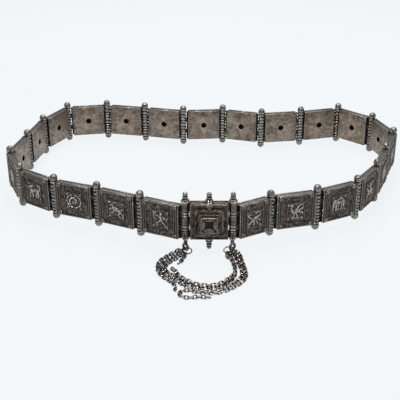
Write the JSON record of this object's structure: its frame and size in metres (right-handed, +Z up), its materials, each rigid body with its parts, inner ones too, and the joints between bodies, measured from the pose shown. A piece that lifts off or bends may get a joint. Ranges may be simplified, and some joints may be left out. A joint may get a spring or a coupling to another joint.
{
  "type": "plate belt",
  "caption": "Folk silver belt of hinged square plates with cast figures, standing as an oval loop closed by a stepped clasp plate, with fine chains between rings at the clasp's feet.",
  "frame": {"origin": "middle of the belt's box on the surface it stands on", "axes": "+X to the right of the clasp as seen from the front, -Y out of the clasp's front, +Z up"},
  "size_m": [0.2873, 0.2411, 0.0419],
  "materials": {
    "plate_silver": "tarnished cast silver",
    "pin_silver": "tarnished turned silver",
    "wire_silver": "drawn silver wire",
    "chain_silver": "tarnished silver wire"
  },
  "bodies": {
    "root": {"plate_01": "plate_silver", "plate_02": "plate_silver", "plate_03": "plate_silver", "plate_04": "plate_silver", "plate_05": "plate_silver", "plate_06": "plate_silver", "plate_07": "plate_silver", "plate_08": "plate_silver", "plate_09": "plate_silver", "plate_10": "plate_silver", "plate_11": "plate_silver", "plate_12": "plate_silver", "plate_13": "plate_silver", "plate_14": "plate_silver", "plate_15": "plate_silver", "plate_16": "plate_silver", "plate_17": "plate_silver", "plate_18": "plate_silver", "plate_19": "plate_silver", "plate_20": "plate_silver", "plate_21": "plate_silver", "plate_22": "plate_silver", "plate_23": "plate_silver", "clasp_plate": "plate_silver", "hinge_pin_01": "pin_silver", "hinge_pin_02": "pin_silver", "hinge_pin_03": "pin_silver", "hinge_pin_04": "pin_silver", "hinge_pin_05": "pin_silver", "hinge_pin_06": "pin_silver", "hinge_pin_07": "pin_silver", "hinge_pin_08": "pin_silver", "hinge_pin_09": "pin_silver", "hinge_pin_10": "pin_silver", "hinge_pin_11": "pin_silver", "hinge_pin_12": "pin_silver", "hinge_pin_13": "pin_silver", "hinge_pin_14": "pin_silver", "hinge_pin_15": "pin_silver", "hinge_pin_16": "pin_silver", "hinge_pin_17": "pin_silver", "hinge_pin_18": "pin_silver", "hinge_pin_19": "pin_silver", "hinge_pin_20": "pin_silver", "hinge_pin_21": "pin_silver", "hinge_pin_22": "pin_silver", "clasp_pin_left": "pin_silver", "clasp_pin_right": "pin_silver", "ring_left": "wire_silver", "ring_right": "wire_silver", "chain_1": "chain_silver", "chain_2": "chain_silver", "chain_3": "chain_silver", "chain_4": "chain_silver", "chain_5": "chain_silver", "chain_6": "chain_silver"}
  },
  "joints": []
}
